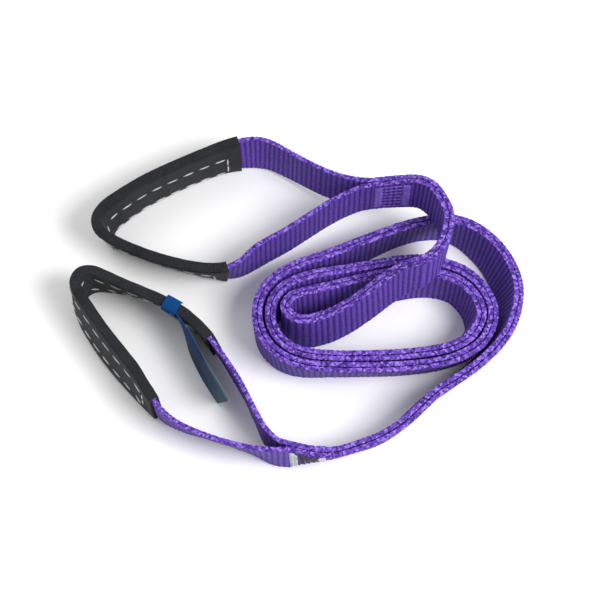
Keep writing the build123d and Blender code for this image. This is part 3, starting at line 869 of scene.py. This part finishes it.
@dataclass
class SoftEye:
    """One eye: its single ply, its sleeve and the sleeve's running stitch."""

    shop: Workshop
    web: Webbing
    body_route: Route
    route: Route
    letter: str
    body: Body
    sleeve_span: tuple[float, float]
    row_shift: float = 0.0
    sleeve_wall: float = 0.0014
    sleeve_clearance: float = 0.00015
    sleeve_extra: float = 0.001
    row_spacing: float = 0.016
    row_end_margin: float = 0.009      # from the sleeve's end to its end bar
    row_inset: float = 0.005           # from an end bar to where the rows stop
    row_lift: float = 0.0002           # of the thread's middle over the sleeve

    @property
    def sleeve_half_height(self) -> float:
        """Of the tube, outside."""
        return self.web.width / 2 + self.sleeve_extra + self.sleeve_clearance

    @property
    def sleeve_half_thick(self) -> float:
        """Of the tube, outside."""
        return self.web.thickness / 2 + self.sleeve_wall + self.sleeve_clearance

    def build(self) -> None:
        """Make the eye."""
        self._web()
        self._sleeve()
        self._running_stitch()

    def _web(self) -> None:
        """The ply from its cut in the body, round the loop and back."""
        cut, length, offset = self.web.splice_cut, self.body_route.length, self.web.ply_offset
        loop = self.route.sections(0.0, self.route.length, self.web.step)
        if self.letter == "a":
            near = self.body_route.sections(0.0, cut, self.web.step)
            first, last = near.moved(out=offset).backwards(), near.moved(out=-offset).facing_in()
            arc_in, arc_out = -first.arc, last.arc
        else:
            near = self.body_route.sections(length - cut, length, self.web.step)
            first, last = near.moved(out=-offset).facing_in(), near.moved(out=offset).backwards()
            arc_in, arc_out = first.arc - length, length - last.arc
        first, last = first.picked(slice(None, -1)), last.picked(slice(1, None))
        arcs = [arc_in[:-1], loop.arc, self.route.length + arc_out[1:]]
        rows = Sections.joined([first, loop, last], arcs)
        seed = 3.0 if self.letter == "a" else 4.0
        piece = self.shop.closed_strap(f"eye_{self.letter}_loop", rows, self.web.width, self.web.thickness,
                                       self.shop.web,
                                       **self.web.dressed(self.route.length, seed, self.web.eye_rib_depth))
        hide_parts(f"eye_{self.letter}_web")
        hinge, inner = near.middle[[0, -1]] if self.letter == "a" else near.middle[[-1, 0]]
        inward = inner - hinge
        inward[2] = 0.0
        inward /= np.linalg.norm(inward)
        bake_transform(piece)
        log.info("%s: %.0f mm of web round the eye", piece.name, 1000 * (self.route.length + 2 * cut))

    def _sleeve(self) -> None:
        """The flat tube, with its wall turned in at both ends."""
        start, end = (share * self.route.length for share in self.sleeve_span)
        rows = self.route.sections(start, end, 0.0008)
        back = rows.backwards()
        back.along = -back.along
        both = Sections.joined([rows, back], [rows.arc, back.arc])
        count = len(rows.arc)
        wall = np.repeat([0.0, self.sleeve_wall], count)
        half_width = self.sleeve_half_height - wall
        half_thick = self.sleeve_half_thick - wall
        order = np.concatenate([np.arange(2 * count), [0]])
        both = both.picked(order)
        piece = self.shop.strap(f"sleeve_{self.letter}_cloth", both, half_width[order], half_thick[order],
                                self.shop.sleeve, Rib_Depth=0.0, Edge_Lump_Pitch=0.0031,
                                Edge_Lump_Height=0.00012, Swell=0.0004, Swell_Size=0.009, Seed=5.0)
        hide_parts(f"eye_{self.letter}_sleeve")
        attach(piece, self.body.value)
        log.info("%s: tube of %.0f mm", piece.name, 1000 * (end - start))

    def _running_stitch(self) -> None:
        """Two rows on each face of the sleeve and a bar at each end."""
        start, end = (share * self.route.length for share in self.sleeve_span)
        start += self.row_end_margin
        end -= self.row_end_margin
        rows = self.route.sections(start + self.row_inset, end - self.row_inset, 0.001)
        ends = self.route.sections(start, end, end - start)
        half = self.row_spacing / 2
        lines = []
        for side in (1.0, -1.0):
            face = side * (self.sleeve_half_thick + self.row_lift)
            for shift in (-half, half):
                line = rows.moved(out=face, across=shift + self.row_shift)
                lines.append((line.middle, rows.out * side))
            for k in (0, -1):
                shifts = np.array([[-0.5], [0.5]]) * half + self.row_shift
                bar = ends.middle[k] + ends.out[k] * face + ends.across[k] * shifts
                lines.append((bar, np.repeat(ends.out[k][None, :] * side, 2, axis=0)))
        piece = self.shop.stitches(f"sleeve_{self.letter}_stitch", lines, self.shop.white_thread,
                                   Pitch=0.0105, Length=0.0078, Thick=0.0011, Turn=0.0, Untidiness=0.05)
        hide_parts(f"eye_{self.letter}_sleeve_stitches")
        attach(piece, self.body.value)
        log.info("%s: running stitch", piece.name)


@dataclass
class Label:
    """The blue label: a sewn end on eye B's sleeve, its thread, a leaf and a cloudy cover."""

    shop: Workshop
    route: Route
    hinge_share: float = 0.305
    width: float = 0.032
    leaf_thickness: float = 0.0008
    cover_thickness: float = 0.0005
    leaf_gap: float = 0.0004
    flap_length: float = 0.066
    sewn_length: float = 0.012
    turn: float = 29.0
    fold_lean: float = 10.0
    lean: float = -3.0
    rise: float = 0.0005
    sleeve_half_thick: float = 0.00315    # of the sleeve that it is sewn to, outside
    standoff: float = 0.0009
    slant: float = 0.42                # of the free end, whose top edge reaches further
    sag_share: float = 0.93            # of the flap's length that it spans in plan
    billow: float = 0.0015             # of the flap out of its plane
    saddle_width: float = 0.010        # of the sewn end along the sleeve
    saddle_place: float = 0.004        # from the fold to the middle of the sewn end
    saddle_crown: float = 0.0018       # of the sewn end over the sleeve's top edge
    saddle_drop: float = 0.0015        # of the sewn end down the outer face of the sleeve

    def build(self) -> None:
        """Make the label."""
        hinge_at = self.hinge_share * self.route.length
        offset = -(self.sleeve_half_thick + self.standoff + self.leaf_thickness / 2)
        sewn = self.route.sections(hinge_at, hinge_at + self.sewn_length, 0.0008)
        sewn = sewn.moved(out=offset, across=self.rise)
        end = self.shop.closed_strap("label_end", self._saddle(hinge_at + self.saddle_place, offset),
                                     self.saddle_width, self.leaf_thickness, self.shop.sewn_label)
        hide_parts("label_sewn_end")
        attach(end, Body.EYE_B.value)
        self._thread(sewn)
        hinge, along = sewn.middle[0], sewn.along[0]
        back = math.atan2(-along[1], -along[0]) - math.radians(self.turn)
        way = np.array([math.cos(back), math.sin(back), 0.0])
        leaf_rows = self._flap(hinge, way, 0.0)
        leaf = self.shop.closed_strap("label_leaf_cloth", leaf_rows, self.width, self.leaf_thickness,
                                      self.shop.label)
        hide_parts("label_leaf")
        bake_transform(leaf)
        gap = (self.leaf_thickness + self.cover_thickness) / 2 + self.leaf_gap
        cover_rows = self._flap(hinge, way, -gap, 0.22)
        cover = self.shop.closed_strap("label_cover_film", cover_rows, self.width * 0.96,
                                       self.cover_thickness, self.shop.cover)
        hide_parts("label_cover")
        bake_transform(cover)
        log.info("label: %.0f mm flap", 1000 * self.flap_length)

    def _saddle(self, place: float, offset: float) -> Sections:
        """Sections of the sewn end: up the inner face of the sleeve, over its top edge and down again.

        Args:
            place: distance of its middle along the eye.
            offset: of the part on the inner face, towards the outside.

        Returns:
            The sections.
        """
        at = self.route.sections(place, place + MM, MM)
        middle, along, across, out = at.middle[0], at.along[0], at.across[0], at.out[0]
        top, reach = self.width / 2 - self.leaf_thickness, abs(offset)
        turn = np.linspace(0, math.pi, 16)
        rise = np.concatenate([np.linspace(-self.width / 2, top, 20)[:-1],
                               top + self.saddle_crown * np.sin(turn),
                               np.linspace(top, top - self.saddle_drop, 8)[1:]])
        shift = np.concatenate([np.full(19, -reach), -reach * np.cos(turn), np.full(7, reach)])
        middles = middle + across * rise[:, None] + out * shift[:, None]
        ways = np.gradient(middles, axis=0)
        ways /= np.linalg.norm(ways, axis=1)[:, None]
        count = len(ways)
        arc = np.concatenate([[0.0], np.cumsum(np.linalg.norm(np.diff(middles, axis=0), axis=1))])
        across_ways = np.repeat(-along[None, :], count, axis=0)
        return Sections(middles, ways, across_ways, np.cross(ways, across_ways), arc)

    def _flap(self, hinge: np.ndarray, way: np.ndarray, gap: float, start: float = 0.0) -> Sections:
        """Sections of one leaf of the flap.

        Args:
            hinge: middle of the fold.
            way: the way that it points in plan.
            gap: how far it stands off the leaf.
            start: share of the flap's length where it starts.

        Returns:
            The sections.
        """
        count = 60
        share = np.linspace(start, 1, count)[:, None]
        side = np.array([way[1], -way[0], 0.0])
        lean = np.radians(self.lean + (self.fold_lean - self.lean) * (1 - share) ** 6)
        upright = np.array([0.0, 0.0, 1.0])
        across = upright * np.cos(lean) + side * np.sin(lean) + way * (self.slant * share ** 3)
        out = side * np.cos(lean) - upright * np.sin(lean)
        billow = self.billow * np.sin(math.pi * share) * np.minimum(1, 4 * share)
        middle = hinge + way * (share * self.flap_length * self.sag_share) + out * (billow + gap)
        along = np.repeat(way[None, :], count, axis=0)
        return Sections(middle, along, across, out, share[:, 0] * self.flap_length)

    def _thread(self, sewn: Sections) -> None:
        """The two bars that hold the sewn end."""
        lines = []
        reach = self.width / 2 - 0.003
        last = len(sewn.arc) - 1
        for k in (3, last - 3):
            shifts = np.linspace(-reach, reach, 20)[:, None]
            face = sewn.middle[k] - sewn.out[k] * (self.leaf_thickness / 2 + THREAD_LIFT)
            line = face + sewn.across[k] * shifts
            lines.append((line, np.repeat(-sewn.out[k:k + 1], 20, axis=0)))
        piece = self.shop.stitches("label_thread", lines, self.shop.grey_thread, Pitch=0.0034,
                                   Length=0.0030, Thick=0.0008, Turn=0.0, Untidiness=0.1)
        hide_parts("label_stitches")
        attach(piece, Body.EYE_B.value)


@dataclass
class Studio:
    """A pale floor, soft light and the camera."""

    elevation: float = 65.0
    distance: float = 1.0
    lens: float = 96.8
    target: tuple[float, float, float] = (0.0025, 0.00295, 0.010)
    sensor: float = 36.0
    room_light: float = 0.62
    floor_half: float = 4.0

    def build(self) -> None:
        """Set the stage."""
        floor_mesh = bpy.data.meshes.new("floor")
        half = self.floor_half
        corners = [(-half, -half, 0), (half, -half, 0), (half, half, 0), (-half, half, 0)]
        floor_mesh.from_pydata(corners, [], [(0, 1, 2, 3)])
        floor = plain_object("floor", floor_mesh)
        paint = bpy.data.materials.new("floor paint")
        paint.use_nodes = True
        shader = paint.node_tree.nodes["Principled BSDF"]
        shader.inputs["Base Color"].default_value = (0.93, 0.93, 0.93, 1)
        shader.inputs["Roughness"].default_value = 0.9
        shader.inputs["Specular IOR Level"].default_value = 0.0
        floor_mesh.materials.append(paint)
        world = bpy.data.worlds.new("pale room")
        world.use_nodes = True
        world.node_tree.nodes["Background"].inputs[0].default_value = (1, 1, 1, 1)
        world.node_tree.nodes["Background"].inputs[1].default_value = self.room_light
        bpy.context.scene.world = world
        self._light("key", (0.6, -0.35, 0.85), 0.5, 11.5)
        self._light("fill", (-0.7, 0.5, 0.9), 0.9, 3.0)
        bpy.context.scene.view_settings.view_transform = "Standard"
        angle = math.radians(self.elevation)
        camera_data = bpy.data.cameras.new("camera")
        camera_data.lens = self.lens
        camera_data.sensor_width = self.sensor
        camera = bpy.data.objects.new("camera", camera_data)
        bpy.context.scene.collection.objects.link(camera)
        target = Vector(self.target)
        camera.location = target + Vector((0, -math.cos(angle), math.sin(angle))) * self.distance
        camera.rotation_euler = (target - camera.location).to_track_quat("-Z", "Y").to_euler()
        bpy.context.scene.camera = camera

    @staticmethod
    def _light(name: str, place: tuple[float, float, float], size: float, power: float) -> None:
        """A square soft light that points at the sling."""
        data = bpy.data.lights.new(name, "AREA")
        data.size = size
        data.energy = power
        lamp = bpy.data.objects.new(name, data)
        bpy.context.scene.collection.objects.link(lamp)
        lamp.location = place
        lamp.rotation_euler = (-Vector(place)).to_track_quat("-Z", "Y").to_euler()


def main() -> None:
    """Build the sling and its stage."""
    logging.basicConfig(level=logging.INFO, format="%(name)s: %(message)s")
    Studio().build()
    shop, web = Workshop(), Webbing()
    body = Route(BODY_STATIONS, 1, web.width, web.body_thickness)
    eye_a = Route(EYE_A_STATIONS, -1, web.width, web.thickness)
    eye_b = Route(EYE_B_STATIONS, -1, web.width, web.thickness)
    SlingBody(shop, web, body).build()
    SoftEye(shop, web, body, eye_a, "a", Body.EYE_A, (0.235, 0.739), row_shift=-0.0058).build()
    SoftEye(shop, web, body, eye_b, "b", Body.EYE_B, (0.230, 0.757)).build()
    Label(shop, eye_b).build()


if __name__ == "__main__":
    main()
